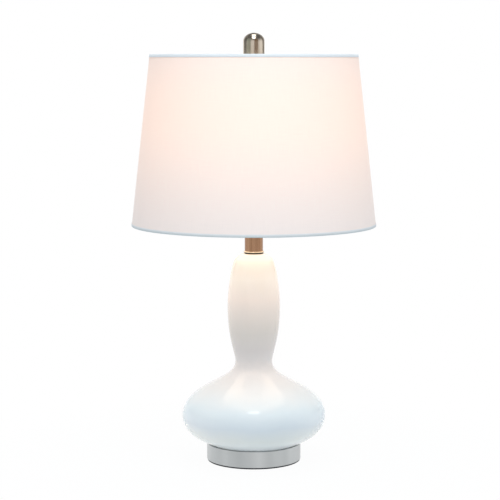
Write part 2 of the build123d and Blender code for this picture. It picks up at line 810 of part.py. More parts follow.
parts = {
    "base_pad": make_base_pad(),
    "base_plinth": make_base_plinth(),
    "base_weight": make_base_weight(),
    "base_washer": make_base_washer(),
    "base_nut": hex_nut(base_nut_bottom),
    "cord_bushing": make_cord_bushing(),
    "glass_gasket": make_glass_gasket(),
    "glass_body": make_glass_body(),
    "glass_bush": make_glass_bush(),
    "neck_ring": make_neck_ring(),
    "neck_tube": make_neck_tube(),
    "neck_cap": make_neck_cap(),
    "neck_nut": hex_nut(neck_nut_bottom),
    "threaded_rod": make_threaded_rod(),
    "harp_saddle": make_harp_saddle(),
    "harp_bow": make_harp_bow(),
    "harp_sleeve_left": make_harp_sleeve(-1),
    "harp_sleeve_right": make_harp_sleeve(1),
    "harp_stud": make_harp_stud(),
    "spider_washer": make_spider_washer(),
    "spider_spokes": make_spider_spokes(),
    "shade_top_ring": make_top_ring(),
    "shade_bottom_ring": make_bottom_ring(),
    "shade_fabric": cone_shell(0, fabric_thickness),
    "shade_liner": cone_shell(fabric_thickness + glue_gap, liner_thickness),
    "shade_top_trim": make_trim(shade_top, 1, top_ring_radius),
    "shade_bottom_trim": make_trim(shade_bottom, -1, bottom_ring_radius),
    "finial_insert": make_finial_insert(),
    "finial": make_finial(),
    "socket_cap": make_socket_cap(),
    "socket_set_screw": make_set_screw(),
    "socket_shell": make_socket_shell(),
    "socket_liner": make_socket_liner(),
    "socket_body": make_socket_body(),
    "socket_screw_shell": make_screw_shell(),
    "socket_contact": make_centre_contact(),
    "terminal_screws": make_terminal_screws(),
    "switch_bush": make_switch_bush(),
    "switch_shaft": make_switch_shaft(),
    "switch_knob": make_switch_knob(),
    "bulb_contact": make_bulb_contact(),
    "bulb_cap": make_bulb_cap(),
    "bulb_envelope": make_bulb_envelope(),
}

os.makedirs("parts", exist_ok=True)
for name, shape in parts.items():
    export_step(shape, f"parts/{name}.step")
    print(name, round(shape.volume, 1))
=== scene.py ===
# %% [markdown]
# ## A glass table lamp, dressed for its portrait
# The lamp stands on a round nickel plinth. Above it come a waisted white glass body, a short metal neck and
# a tapered fabric shade, which a wire harp and a bullet finial hold. The solid pieces were drawn in CAD to
# real sizes. This lesson loads them as a fixed frame and adds what CAD leaves plain: finishes, cloth,
# threads, light and a camera.

# %% Load the frame
import json
import math

import bpy
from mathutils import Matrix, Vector

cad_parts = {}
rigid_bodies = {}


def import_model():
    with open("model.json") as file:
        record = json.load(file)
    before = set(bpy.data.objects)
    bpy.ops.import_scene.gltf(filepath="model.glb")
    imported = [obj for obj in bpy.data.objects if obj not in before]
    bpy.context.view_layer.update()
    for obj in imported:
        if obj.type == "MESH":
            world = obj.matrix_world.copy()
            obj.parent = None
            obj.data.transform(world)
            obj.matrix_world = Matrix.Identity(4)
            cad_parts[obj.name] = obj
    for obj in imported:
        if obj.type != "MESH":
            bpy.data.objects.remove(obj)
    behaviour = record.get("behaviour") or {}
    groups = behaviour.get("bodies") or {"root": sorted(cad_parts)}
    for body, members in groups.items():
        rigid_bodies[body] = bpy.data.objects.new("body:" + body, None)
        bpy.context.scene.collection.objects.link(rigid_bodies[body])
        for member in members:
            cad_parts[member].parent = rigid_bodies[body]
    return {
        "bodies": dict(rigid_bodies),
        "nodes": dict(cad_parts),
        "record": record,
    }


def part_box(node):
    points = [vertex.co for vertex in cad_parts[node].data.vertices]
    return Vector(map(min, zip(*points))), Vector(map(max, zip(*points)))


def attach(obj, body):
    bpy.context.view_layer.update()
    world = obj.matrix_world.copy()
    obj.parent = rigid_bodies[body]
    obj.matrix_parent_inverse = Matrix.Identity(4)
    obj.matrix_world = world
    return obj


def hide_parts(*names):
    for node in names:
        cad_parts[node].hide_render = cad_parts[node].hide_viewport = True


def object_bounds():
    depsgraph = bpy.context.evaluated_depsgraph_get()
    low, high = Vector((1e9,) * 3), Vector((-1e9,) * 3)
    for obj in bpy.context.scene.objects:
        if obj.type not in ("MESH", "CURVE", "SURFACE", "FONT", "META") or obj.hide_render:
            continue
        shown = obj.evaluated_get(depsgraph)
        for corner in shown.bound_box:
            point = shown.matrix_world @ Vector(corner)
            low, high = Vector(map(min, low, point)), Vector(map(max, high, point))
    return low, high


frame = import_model()
nodes = frame["nodes"]
cad_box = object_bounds()
scene = bpy.context.scene
scene.view_settings.view_transform = "Standard"
mm = 0.001

# %% [markdown]
# ## The camera
# A product picture like this is taken from a good distance with a long lens, so that the shade's rim bends
# only a little. A wide lens close by could frame the lamp too, but it would swell the base. So the camera
# stands more than two metres away, at about the height of the finial, and looks slightly down.

# %% Camera
camera_place = (-0.0052, -2.2563, 0.54285)
camera_tilt_down = 6.43
camera_lens = 120.46

camera_data = bpy.data.cameras.new("portrait_camera")
camera_data.lens = camera_lens
camera_data.sensor_width = 36.0
camera = bpy.data.objects.new("portrait_camera", camera_data)
camera.location = camera_place
camera.rotation_euler = (math.radians(90 - camera_tilt_down), 0, 0)
scene.collection.objects.link(camera)
scene.camera = camera
print("camera:", camera_lens, "mm lens,", round(-camera_place[1], 2), "m in front of the lamp")

# %% [markdown]
# ## Shader sums in plain Python
# A finish is often a sum: some noise times a strength, plus a base. Wiring each step by hand hides the sum
# in boxes. A small class that wraps a socket and answers to + - * / lets the sum be written as it is
# thought, and adds one Math node for each sign. Reflected forms make "1 - mask" work too.

# %% A socket that does sums
class Value:
    """What leaves a node's socket, ready for Python arithmetic."""

    def __init__(self, tree, socket):
        self.tree = tree
        self.socket = socket

    def math(self, operation, *values):
        """One Math node on plain numbers and wrapped sockets, in the order given."""
        node = self.tree.nodes.new("ShaderNodeMath")
        node.operation = operation
        for place, value in enumerate(values):
            plug(self.tree, node.inputs[place], value)
        return Value(self.tree, node.outputs[0])

    def __add__(self, other):
        return self.math("ADD", self, other)

    def __radd__(self, other):
        return self.math("ADD", other, self)

    def __sub__(self, other):
        return self.math("SUBTRACT", self, other)

    def __rsub__(self, other):
        return self.math("SUBTRACT", other, self)

    def __mul__(self, other):
        return self.math("MULTIPLY", self, other)

    def __rmul__(self, other):
        return self.math("MULTIPLY", other, self)

    def __truediv__(self, other):
        return self.math("DIVIDE", self, other)

    def __rtruediv__(self, other):
        return self.math("DIVIDE", other, self)

    def __pow__(self, other):
        return self.math("POWER", self, other)

    def clamped(self, low=0.0, high=1.0):
        return self.math("MINIMUM", self.math("MAXIMUM", self, low), high)


def plug(tree, socket, value):
    """Link a wrapped socket, or write a plain number, vector or colour."""
    if isinstance(value, Value):
        tree.links.new(value.socket, socket)
    else:
        socket.default_value = value


print("sums: Value ready")

# %% [markdown]
# ## One maker for all finishes
# Each finish is one Principled shader with a few nodes in front of it. Numbers that are the same all over go
# straight on the shader's sockets. What varies, such as brushing, weave or a milky cloud, is built with one
# general node method, which the room around the lamp uses too. The pattern's place is the object's own
# coordinates, in metres, so it stays put when a piece moves.

# %% Any node in one call
class NodeTree:
    """A tree of shader nodes, and short names for the nodes that finishes are made of."""

    def __init__(self, tree):
        self.tree = tree

    def node(self, kind, settings=None, sockets=None, output=0):
        """Any node: its settings first, then its sockets, and one wrapped output back."""
        node = self.tree.nodes.new(kind)
        for word, value in (settings or {}).items():
            if word == "stops":
                set_stops(node.color_ramp, value)
            else:
                setattr(node, word, value)
        for word, value in (sockets or {}).items():
            plug(self.tree, node.inputs[word], value)
        return Value(self.tree, node.outputs[output])

    def split(self, vector):
        """The x, y and z of a vector."""
        return [self.node("ShaderNodeSeparateXYZ", {}, {"Vector": vector}, axis) for axis in range(3)]

    def joined(self, x, y, z):
        return self.node("ShaderNodeCombineXYZ", {}, {"X": x, "Y": y, "Z": z})

    def noise(self, vector, scale, detail=2.0, roughness=0.5):
        return self.node("ShaderNodeTexNoise", {"noise_dimensions": "3D"},
                         {"Vector": vector, "Scale": scale, "Detail": detail, "Roughness": roughness})

    def mixed(self, share, first, second):
        """A colour between two colours."""
        return self.node("ShaderNodeMix", {"data_type": "RGBA"}, {0: share, 6: first, 7: second}, 2)

    def bump(self, height, strength, depth):
        return self.node("ShaderNodeBump", {}, {"Height": height, "Strength": strength, "Distance": depth})


def set_stops(ramp, stops):
    """Give a colour ramp its stops, each a position and a colour."""
    while len(ramp.elements) < len(stops):
        ramp.elements.new(0.5)
    for element, (position, colour) in zip(ramp.elements, stops):
        element.position = position
        element.color = colour


print("nodes: maker ready")

# %% A finish
class Finish(NodeTree):
    """A material with one Principled shader, named for what it is on the lamp."""

    def __init__(self, name, **constants):
        self.material = bpy.data.materials.new(name)
        self.material.use_nodes = True
        super().__init__(self.material.node_tree)
        self.shader = self.tree.nodes["Principled BSDF"]
        for word, value in constants.items():
            label = word.replace("_", " ").title().replace("Ior", "IOR")
            self.shader.inputs[label].default_value = value

    def place(self):
        """The point on the piece, as a vector in metres."""
        return self.node("ShaderNodeTexCoord", output="Object")

    def vary(self, word, value):
        """Let a value that changes over the surface feed one of the shader's sockets."""
        plug(self.tree, self.shader.inputs[word], value)


print("finishes: maker ready")

# %% [markdown]
# ## Opal glass
# The body is white glass, blown in a mould: white all through, with a clear polished skin. A real glass
# shader could bend light inside it, but opal glass lets so little through that a white, very smooth surface
# looks the same and renders fast. A ramp over the height sets its tone, and it paints light and shade onto
# the white. The foot is near white, painted light over the shade at the plinth. Low on the belly is a cool,
# darker band, a painted reflection of the room in front and of the floor's bluish bounce. The shoulder is
# neutral. The waist is a painted shade of warm grey under the lampshade, and the bulge and the crown are
# cream, painted warm light from the bulb. Faint clouds and a slow ripple in the skin keep it from looking
# like paint.

# %% Opal glass
painted_tone_low = 0.030
painted_tone_high = 0.280
# Painted light and shade by height, from the foot up to the crown.
glass_painted_light_tones = [
    (0.0, (0.99, 0.99, 0.97, 1)),
    (0.05, (0.81, 0.825, 0.795, 1)),
    (0.12, (0.640, 0.715, 0.775, 1)),
    (0.20, (0.705, 0.815, 0.88, 1)),
    (0.36, (0.835, 0.84, 0.865, 1)),
    (0.42, (0.84, 0.785, 0.765, 1)),
    (0.50, (0.76, 0.69, 0.66, 1)),
    (0.59, (0.76, 0.69, 0.635, 1)),
    (0.78, (0.96, 0.835, 0.76, 1)),
    (0.89, (0.95, 0.885, 0.82, 1)),
    (1.0, (0.78, 0.74, 0.69, 1)),
]
cloud_tone = (0.84, 0.83, 0.82, 1)


def opal_glass():
    finish = Finish("opal_glass", ior=1.50, specular_ior_level=0.28,
                    coat_weight=0.06, coat_roughness=0.02)
    place = finish.place()
    clouds = finish.noise(place, scale=22.0, detail=3.0)
    ripple = finish.noise(place, scale=16.0, detail=1.0)
    height = finish.split(place)[2]
    share_up = (height - painted_tone_low) / (painted_tone_high - painted_tone_low) + 0.04 * clouds - 0.02
    painted_glass_tone = finish.node("ShaderNodeValToRGB", {"stops": glass_painted_light_tones}, {"Fac": share_up})
    finish.vary("Base Color", finish.mixed(0.25 * clouds, painted_glass_tone, cloud_tone))
    finish.vary("Roughness", 0.05 + 0.05 * clouds)
    finish.vary("Normal", finish.bump(ripple, strength=0.25, depth=0.4 * mm))
    return finish


white_glass = opal_glass()
print("opal glass:", len(glass_painted_light_tones), "tones,", len(white_glass.tree.nodes), "nodes")

# %% [markdown]
# ## Brushed nickel
# The plinth, ring, neck and finial are nickel plate, brushed to a satin. Brushing leaves fine scratches all
# in one direction: round the plinth and ring, which turned on a lathe, and up and down the neck and finial.
# A streak is noise that is squeezed hard across the scratch and left long along it. The squeeze is done on
# the direction from the axis, so the streaks close up round the piece without a seam. One maker gives four
# tones. The plinth is grey. The finial is a warm grey, partly a painted warm reflection of the lit shade.
# The neck is brown, a painted warm reflection of the shade's lit inside. The ring is pale. The ring's foot
# is painted dark, a painted shade under its rounded edge.

# %% Brushed nickel
brushed_round = (3.0, 5200.0)
brushed_along = (150.0, 9.0)
patch_turn_scale = 2.1
patch_rise_scale = 4.0
painted_shade_tone = (0.09, 0.06, 0.035, 1)
never_zero = 1e-9


def brushed_nickel(name, brushing, colour, worn_colour, roughness, shaded_foot=None):
    """Satin nickel; brushing is the scratches' scale on the way round the axis and on the way up.

    shaded_foot is a pair of heights: painted shade up to the first, the brushed tone from the second.
    """
    finish = Finish(name, metallic=1.0)
    x, y, z = finish.split(finish.place())
    radius = (x * x + y * y + never_zero) ** 0.5
    toward_x = x / radius
    toward_y = y / radius
    turn_scale, rise_scale = brushing
    squeezed = finish.joined(toward_x * turn_scale, toward_y * turn_scale, z * rise_scale)
    scratches = finish.noise(squeezed, scale=1.0, detail=4.0, roughness=0.62)
    broad = finish.joined(toward_x * patch_turn_scale, toward_y * patch_turn_scale, z * patch_rise_scale)
    patches = finish.noise(broad, scale=1.0, detail=1.0)
    worn = (0.5 * scratches + 1.6 * patches - 0.55).clamped()
    tone = finish.mixed(worn, colour, worn_colour)
    # Painted shade: the ring's foot is darkened under its rounded edge.
    if shaded_foot:
        dark_up_to, bright_from = shaded_foot
        unshaded_share = ((z - dark_up_to) / (bright_from - dark_up_to)).clamped()
        tone = finish.mixed(unshaded_share, painted_shade_tone, tone)
    finish.vary("Base Color", tone)
    finish.vary("Roughness", roughness - 0.06 + 0.14 * scratches)
    finish.vary("Normal", finish.bump(scratches, strength=0.12, depth=0.05 * mm))
    return finish


ring_low, ring_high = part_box("neck_ring")
ring_shaded_foot = (ring_low.z + 0.9 * mm, ring_low.z + 1.3 * mm)
# The finial's warm grey is partly a painted warm reflection of the lit shade.
nickel = brushed_nickel("brushed_nickel", brushed_along,
                        (0.565, 0.49, 0.405, 1), (0.76, 0.675, 0.57, 1), 0.20)
plinth_nickel = brushed_nickel("plinth_nickel", brushed_round,
                               (0.41, 0.43, 0.435, 1), (0.60, 0.62, 0.625, 1), 0.30)
# The neck's brown is a painted warm reflection of the shade's lit inside.
neck_painted_reflection = brushed_nickel("neck_painted_reflection", brushed_along,
                             (0.29, 0.155, 0.085, 1), (0.46, 0.27, 0.165, 1), 0.27)
ring_nickel = brushed_nickel("ring_nickel", brushed_round,
                             (0.62, 0.52, 0.38, 1), (0.82, 0.72, 0.56, 1), 0.18, ring_shaded_foot)
print("brushed nickel: four tones; the ring is", round((ring_high.z - ring_low.z) / mm, 2), "mm high")

# %% [markdown]
# ## Shade cloth and its glow
# The shade is a plain weave glued on a stiff liner. Threads are thinner than a pixel here, so what the eye
# gets is a slight unevenness of warp and weft: noise drawn long up the shade, and noise drawn long round it.
# The bulb shines through. A path-traced sheet would need many samples for that, so the glow is painted on as
# emission instead. It is warm, and it falls off a little faster than the square of the distance from the
# bulb, as light does on a wall that leans away. The tape on the edges has the same painted glow, and its
# lower side is painted darker, a painted shade along the fold. The liner inside needs less painted glow,
# because the bulb's light reaches it.

# %% Shade cloth
bulb_low, bulb_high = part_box("bulb_envelope")
bulb_radius = (bulb_high.x - bulb_low.x) / 2
bulb_centre = (0.0, 0.0, bulb_high.z - bulb_radius)
glow_reach = 0.150
shade_middle_radius = 0.152
cloth_thread = 0.7 * mm
tape_thread = 0.9 * mm
thread_squeeze = 0.03
no_light = (0.0, 0.0, 0.0, 1)


def glow_share(finish, nearest, falloff=2.5):
    """1 on a wall as far away as nearest, level with the bulb, and less further off."""
    away = finish.node("ShaderNodeVectorMath", {"operation": "DISTANCE"},
                       {0: finish.place(), 1: bulb_centre}, "Value")
    return (nearest / away) ** falloff


def woven(finish, pitch):
    """Uneven warp and weft threads of a sheet that stands round the lamp's axis."""
    x, y, z = finish.split(finish.place())
    turns = finish.node("ShaderNodeMath", {"operation": "ARCTAN2"}, {0: x, 1: y * -1.0})
    across = turns * shade_middle_radius / pitch
    up = z / pitch
    warp = finish.noise(finish.joined(across, up * thread_squeeze, 0.0), scale=1.0, detail=1.0)
    weft = finish.noise(finish.joined(across * thread_squeeze, up, 7.0), scale=1.0, detail=1.0)
    return warp, weft


def shade_cloth():
    finish = Finish("shade_cloth", sheen_weight=0.25, sheen_roughness=0.4, emission_strength=1.0,
                    specular_ior_level=0.2)
    warp, weft = woven(finish, cloth_thread)
    thread = 0.5 * warp + 0.5 * weft
    finish.vary("Base Color", finish.mixed(thread, (0.765, 0.77, 0.785, 1), (0.845, 0.85, 0.86, 1)))
    finish.vary("Roughness", 0.82 + 0.12 * thread)
    finish.vary("Normal", finish.bump(thread, strength=0.2, depth=0.15 * mm))
    # Painted glow: emission that stands for the bulb's light through the cloth.
    lit = glow_share(finish, glow_reach) * (0.9 + 0.2 * thread)
    finish.vary("Emission Color", finish.mixed(lit, no_light, (0.40, 0.16, 0.025, 1)))
    return finish


def edge_tape(name, trim, shaded_tone, lit_tone):
    """The tape on one edge; its lower side is painted darker, a painted shade along the fold."""
    finish = Finish(name, sheen_weight=0.3, sheen_roughness=0.35, emission_strength=1.0,
                    specular_ior_level=0.3)
    warp, weft = woven(finish, tape_thread)
    rib = 0.7 * warp + 0.3 * weft
    low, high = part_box(trim)
    height = finish.split(finish.place())[2]
    # Painted shade: darker towards the tape's lower side, along the fold.
    share_up = ((height - low.z) / (high.z - low.z) + 0.3 * rib - 0.15).clamped()
    finish.vary("Base Color", finish.mixed(share_up, shaded_tone, lit_tone))
    finish.vary("Roughness", 0.62 + 0.2 * rib)
    finish.vary("Normal", finish.bump(rib, strength=0.3, depth=0.2 * mm))
    # Painted glow, as on the cloth.
    lit = glow_share(finish, glow_reach)
    finish.vary("Emission Color", finish.mixed(lit, no_light, (0.27, 0.27, 0.27, 1)))
    return finish


def stiff_liner():
    finish = Finish("stiff_liner", emission_strength=1.0)
    grain = finish.noise(finish.place(), scale=900.0)
    finish.vary("Base Color", finish.mixed(grain, (0.62, 0.61, 0.59, 1), (0.68, 0.67, 0.65, 1)))
    finish.vary("Roughness", 0.45 + 0.15 * grain)
    finish.vary("Normal", finish.bump(grain, strength=0.05, depth=0.05 * mm))
    # Painted glow on the liner's inside.
    lit = glow_share(finish, glow_reach, falloff=1.5)
    finish.vary("Emission Color", finish.mixed(lit, (0.02, 0.014, 0.009, 1), (0.22, 0.15, 0.095, 1)))
    return finish


cloth = shade_cloth()
# Each tape: the painted shade tone of its lower side, then its lit tone.
tapes = {
    "shade_top_trim": edge_tape("top_edge_tape", "shade_top_trim",
                                (0.50, 0.56, 0.60, 1), (0.68, 0.74, 0.78, 1)),
    "shade_bottom_trim": edge_tape("bottom_edge_tape", "shade_bottom_trim",
                                   (0.36, 0.43, 0.45, 1), (0.74, 0.75, 0.77, 1)),
}
liner = stiff_liner()
print("shade finishes: cloth", len(cloth.tree.nodes), "nodes, and", len(tapes), "tapes")

# %% [markdown]
# ## Bulb, wires and the plain makers' finishes
# The bulb's glass is frosted and shines by itself, brightest round its middle. The other pieces are what a
# lamp maker buys by the thousand: zinc-plated steel, brass, cast iron, moulded plastic, card, rubber and
# felt. They could be flat colours, but then they would all look like the same plastic. So each gets a base
# of two near colours, mixed by a grain of its own size, and a roughness that follows the grain.

# %% Bulb and small parts
def frosted_bulb():
    finish = Finish("frosted_bulb", roughness=0.35, emission_strength=0.6,
                    base_color=(0.86, 0.80, 0.70, 1))
    lit = glow_share(finish, bulb_radius).clamped()
    finish.vary("Emission Color", finish.mixed(lit, (0.75, 0.50, 0.28, 1), (1.0, 0.86, 0.66, 1)))
    return finish


def grained(name, dark, light, scale, roughness, relief=0.1, metallic=0.0, stretch=1.0):
    """A finish of two near colours with a grain, drawn longer upwards where stretch is above 1."""
    finish = Finish(name, metallic=metallic)
    x, y, z = finish.split(finish.place())
    grain = finish.noise(finish.joined(x, y, z / stretch), scale, detail=3.0)
    finish.vary("Base Color", finish.mixed(grain, (*dark, 1), (*light, 1)))
    finish.vary("Roughness", roughness - 0.08 + 0.16 * grain)
    finish.vary("Normal", finish.bump(grain, relief, depth=0.1 * mm))
    return finish


finishes = {
    "white_glass": white_glass,
    "brushed_nickel": nickel,
    "shade_fabric": cloth,
    "trim_tape": tapes["shade_top_trim"],
    "shade_liner": liner,
    "bulb_glass": frosted_bulb(),
    "felt": grained("felt", (0.03, 0.03, 0.034), (0.10, 0.10, 0.11), 1500.0, 0.92, 0.8),
    "cast_iron": grained("cast_iron", (0.09, 0.09, 0.095), (0.18, 0.18, 0.185), 700.0, 0.72, 0.6, 0.6),
    "zinc_steel": grained("zinc_steel", (0.50, 0.51, 0.52), (0.66, 0.67, 0.68), 260.0, 0.36, 0.1, 1.0),
    "nickel_wire": grained("nickel_wire", (0.52, 0.51, 0.49), (0.66, 0.65, 0.62),
                           420.0, 0.28, 0.1, 1.0, 6.0),
    "white_wire": grained("white_wire", (0.74, 0.74, 0.72), (0.84, 0.84, 0.82), 500.0, 0.42, 0.15),
    "black_plastic": grained("black_plastic", (0.016, 0.016, 0.017), (0.035, 0.035, 0.036),
                             1800.0, 0.42, 0.2),
    # gasket_rubber is near white, a painted light that lifts the shade in the gap between plinth and glass.
    "gasket_rubber": grained("gasket_rubber", (0.86, 0.87, 0.87), (0.92, 0.93, 0.93), 900.0, 0.75, 0.3),
    "brass": grained("brass", (0.62, 0.45, 0.19), (0.78, 0.60, 0.30), 380.0, 0.30, 0.1, 1.0, 4.0),
    "phenolic": grained("phenolic", (0.05, 0.028, 0.018), (0.09, 0.05, 0.03), 800.0, 0.40, 0.2),
    "liner_card": grained("liner_card", (0.28, 0.22, 0.15), (0.40, 0.32, 0.23), 900.0, 0.85, 0.4),
    "bulb_metal": grained("bulb_metal", (0.62, 0.63, 0.64), (0.76, 0.77, 0.78), 300.0, 0.30, 0.1, 1.0),
    "bulb_insulator": grained("bulb_insulator", (0.02, 0.021, 0.024), (0.05, 0.05, 0.055),
                              700.0, 0.25, 0.1),
}
print("finishes:", len(finishes), "slots")

# %% [markdown]
# ## Dressing the CAD pieces
# On a real lamp each piece is plated, painted or moulded before it is put together. The record names a
# material slot for each one. They could be dressed one by one, but a loop over the record forgets none.
# Plinth, neck and ring get their own tones of nickel; the neck's brown is a painted warm reflection. The
# bush in the glass is black plastic, which paints the shade in the gap under the ring.

# %% Dress the CAD pieces
# The black bush is painted shade in the gap under the ring.
own_finish = {"base_plinth": plinth_nickel, "neck_tube": neck_painted_reflection, "neck_ring": ring_nickel,
              "glass_bush": finishes["black_plastic"]}
for part in frame["record"]["subparts"]:
    finish = own_finish.get(part["node"], finishes[part["material_slot"]])
    mesh = nodes[part["node"]].data
    mesh.materials.clear()
    mesh.materials.append(finish.material)

# %% [markdown]
# ## Making sheets round the lamp's axis
# Cloth, tape and thread are all surfaces wrapped round the axis. Blender can spin a profile, but a lap seam
# or a thread has to change on its way round. So one small helper asks a rule for each point of a grid, joins
# the points to quads, and lets a Solidify modifier give the sheet its thickness.

# %% Grid helper
crease_angle = 40
same_height = 0.01 * mm


def wrapped_sheet(name, columns, rows, point, closed=False, first_cap=False, last_cap=False):
    """Quads on a grid; point(across, up) gives a place for shares from 0 to 1. A cap fills an end row."""
    width = columns if closed else columns + 1
    places = []
    for row in range(rows + 1):
        places += [point(column / columns, row / rows) for column in range(width)]
    quads = []
    for row in range(rows):
        for column in range(columns):
            right = (column + 1) % width
            quads.append((row * width + column, row * width + right,
                          (row + 1) * width + right, (row + 1) * width + column))
    if first_cap:
        quads.append(tuple(reversed(range(width))))
    if last_cap:
        quads.append(tuple(range(rows * width, (rows + 1) * width)))
    mesh = bpy.data.meshes.new(name)
    mesh.from_pydata(places, [], quads)
    mesh.polygons.foreach_set("use_smooth", [True] * len(mesh.polygons))
    mesh.set_sharp_from_angle(angle=math.radians(crease_angle))
    mesh.update()
    piece = bpy.data.objects.new(name, mesh)
    scene.collection.objects.link(piece)
    return piece


def thicken(piece, thickness, offset):
    """Give a sheet its thickness; offset is -1 behind its face, 0 round it and 1 in front."""
    solidify = piece.modifiers.new("thickness", "SOLIDIFY")
    solidify.thickness = thickness
    solidify.offset = offset
    solidify.use_even_offset = True
    piece.modifiers.new("even_shading", "WEIGHTED_NORMAL")
    return piece


def stand_in(piece, node, finish, body):
    """Let a piece take a node's place, finish and ride."""
    piece.data.materials.append(finish.material)
    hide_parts(node)
    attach(piece, body)
    return piece


def radius_at(node, height):
    """The largest distance from the axis among a node's points at one height."""
    points = [v.co for v in nodes[node].data.vertices if abs(v.co.z - height) < same_height]
    return max(math.hypot(p.x, p.y) for p in points)


def round_the_axis(angle, radius, height):
    """A place on a circle round the lamp's axis."""
    return (radius * math.cos(angle), radius * math.sin(angle), height)


def eased(share):
    """A smooth step from 0 to 1."""
    share = min(max(share, 0.0), 1.0)
    return share * share * (3 - 2 * share)


full_turn = 2 * math.pi
print("sheets: helpers ready")

# %% [markdown]
# ## The shade's cloth
# The cloth is one flat fan-shaped cut, rolled into a cone, with its end lapped over its start and glued. The
# lap is at the back, out of sight. A cone primitive would have no lap, so the sheet is rolled here: it goes
# once round and a little further, and climbs by its own thickness where it passes over its start.

# %% Cloth
cloth_low, cloth_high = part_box("shade_fabric")
bottom_radius = radius_at("shade_fabric", cloth_low.z)
top_radius = radius_at("shade_fabric", cloth_high.z)
cloth_thickness = 0.4 * mm
lap_lift = 1.05 * cloth_thickness
lap_width = 12 * mm
lap_turn = lap_width / (bottom_radius + top_radius) * 2
shade_back = math.pi / 2


def cloth_point(across, up):
    turn = across * (full_turn + lap_turn)
    lifted = eased((turn - full_turn + lap_turn / 2) / (lap_turn / 2))
    radius = bottom_radius + up * (top_radius - bottom_radius) + lifted * lap_lift
    height = cloth_low.z + up * (cloth_high.z - cloth_low.z)
    return round_the_axis(shade_back + turn, radius, height)


shade_cloth_sheet = wrapped_sheet("shade_cloth", columns=372, rows=46, point=cloth_point)
thicken(shade_cloth_sheet, cloth_thickness, -1)
stand_in(shade_cloth_sheet, "shade_fabric", cloth, "shade")

# %% [markdown]
# ## Edge tape
# A woven tape is folded over each edge of the shade, round its frame wire, and glued. Its ends lap at the
# back too. The tape's path is drawn once, as the line it takes over the edge, with round folds instead of
# sharp ones. It could be a bevelled curve, but then the lap would be lost.

# %% Tape
tape_thickness = 0.33 * mm
tape_fold = 0.4 * mm
fold_steps = 5
tape_lap = 1.6 * lap_turn
tape_climb = tape_lap / 3
pucker_height = 0.03 * mm


def tape_path(trim, outward):
    """Points of (radius, height) from the tape's outer edge, over the rim, to its inner edge."""
    low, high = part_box(trim)
    leg_end, crest = (low.z, high.z) if outward > 0 else (high.z, low.z)
    middle = crest - outward * tape_thickness / 2
    points = [v.co for v in nodes[trim].data.vertices]
    radii = [math.hypot(p.x, p.y) for p in points]
    outer_at_leg = radius_at(trim, leg_end) - tape_thickness / 2
    outer_at_crest = radius_at(trim, crest) - tape_thickness / 2
    inner = min(radii) + tape_thickness / 2
    inner_end = min(p.z * outward for r, p in zip(radii, points) if r < inner + tape_thickness) * outward
    path = [(outer_at_leg, leg_end)]
    for share in (0.3, 0.6):
        path.append((outer_at_leg + (outer_at_crest - outer_at_leg) * share,
                     leg_end + (middle - leg_end) * share))
    quarter = [math.pi / 2 * step / fold_steps for step in range(fold_steps + 1)]
    for angle in quarter:
        path.append((outer_at_crest - tape_fold + tape_fold * math.cos(angle),
                     middle - outward * tape_fold * (1 - math.sin(angle))))
    for angle in quarter:
        path.append((inner + tape_fold - tape_fold * math.sin(angle),
                     middle - outward * tape_fold * (1 - math.cos(angle))))
    path.append((inner, inner_end))
    return path


def edge_binding(name, trim, outward):
    """The tape on one edge: outward is 1 at the shade's top and -1 at its bottom."""
    path = tape_path(trim, outward)

    def point(across, up):
        turn = across * (full_turn + tape_lap)
        lifted = eased((turn - full_turn + tape_climb) / tape_climb) * tape_thickness
        radius, height = path[round(up * (len(path) - 1))]
        pucker = pucker_height * (math.sin(turn * 61) + math.sin(turn * 23 + up * 3))
        outside = 1 if up < 0.5 else -1
        return round_the_axis(shade_back - tape_lap / 2 + turn, radius + (lifted + pucker) * outside, height)

    piece = wrapped_sheet(name, columns=300, rows=len(path) - 1, point=point)
    thicken(piece, tape_thickness, 0)
    return stand_in(piece, trim, tapes[trim], "shade")


top_tape = edge_binding("shade_top_tape", "shade_top_trim", 1)
bottom_tape = edge_binding("shade_bottom_tape", "shade_bottom_trim", -1)
print("tape:", top_tape.name, "and", bottom_tape.name)

# %% [markdown]
# ## Screw threads
# The bulb's cap is rolled sheet metal with a round, coarse thread, and the harp's stud has a fine cut one,
# which shows when the finial is off. A thread is a grid whose radius waves with the height and whose wave
# starts a little higher at each step round. A spun ring could not climb like that.

# %% The bulb's thread
inch = 25.4 * mm
bulb_pitch = inch / 7
cap_low, cap_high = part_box("bulb_cap")
cap_radius = cap_high.x
cap_foot_radius = radius_at("bulb_cap", cap_low.z)
cap_wall = 0.3 * mm
cap_lead = 2.0 * mm
cap_collar = 4.0 * mm
cap_thread_depth = 0.9 * mm


def thread_dip(across, height, pitch, depth, bottom, top, run_out):
    """How far a right-hand thread lies below its crests at one place; it fades out at both ends."""
    fade = eased((height - bottom) / run_out) * eased((top - height) / run_out)
    return depth * fade * (0.5 + 0.5 * math.cos(full_turn * (height / pitch - across)))


def cap_point(across, up):
    """The rolled cap: a conical foot, the thread and a plain collar under the glass."""
    height = cap_low.z + up * (cap_high.z - cap_low.z)
    plain = cap_foot_radius + (cap_radius - cap_foot_radius) * eased((height - cap_low.z) / cap_lead)
    dip = thread_dip(across, height, bulb_pitch, cap_thread_depth,
                     cap_low.z + cap_lead, cap_high.z - cap_collar, cap_lead)
    return round_the_axis(full_turn * across, plain - dip, height)


screw_cap = wrapped_sheet("bulb_screw_cap", columns=72, rows=96, point=cap_point, closed=True)
thicken(screw_cap, cap_wall, -1)
stand_in(screw_cap, "bulb_cap", finishes["bulb_metal"], "bulb_spin")
print("bulb thread:", screw_cap.name, "with a pitch of", round(bulb_pitch / mm, 2), "mm")

